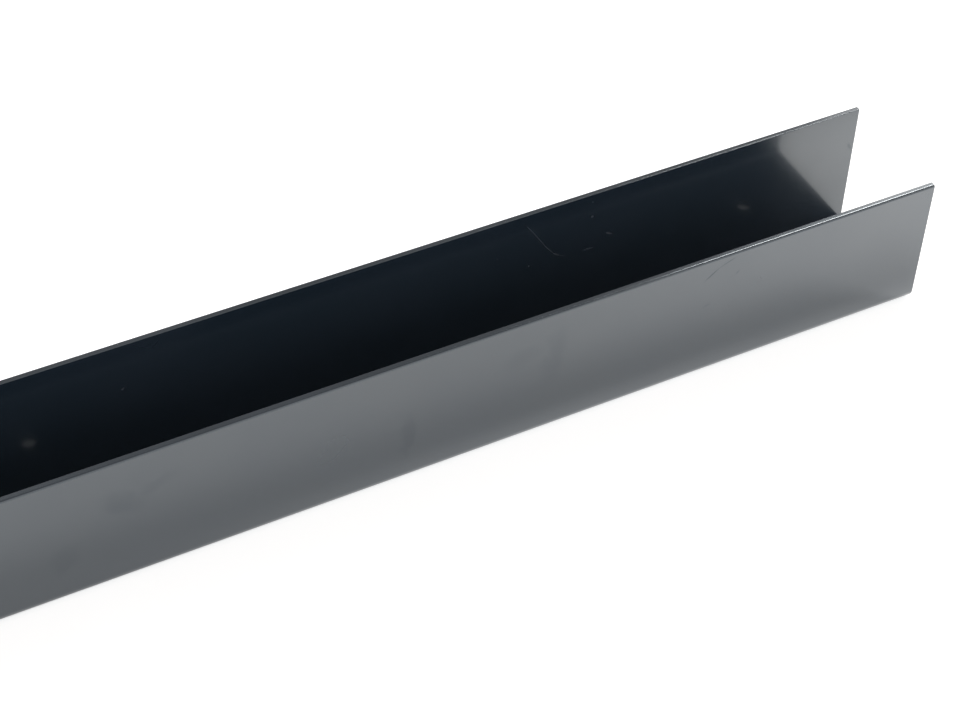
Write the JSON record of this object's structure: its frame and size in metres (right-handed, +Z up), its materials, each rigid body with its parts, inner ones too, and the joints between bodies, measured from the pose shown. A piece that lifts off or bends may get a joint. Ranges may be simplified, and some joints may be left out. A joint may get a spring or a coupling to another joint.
{
  "type": "metal channel section",
  "caption": "Straight U-shaped channel folded from thin metal sheet, open along the top, with a dark gloss coat and a row of screw holes along the web.",
  "frame": {"origin": "on the underside of the web, halfway along the stock and halfway across it", "axes": "+X along the stock towards the end that the picture shows, +Y across the web, +Z up out of the open side"},
  "size_m": [1, 0.0336, 0.037],
  "materials": {
    "gloss_coat": "gloss"
  },
  "bodies": {
    "root": {"channel_section": "gloss_coat"}
  },
  "joints": []
}
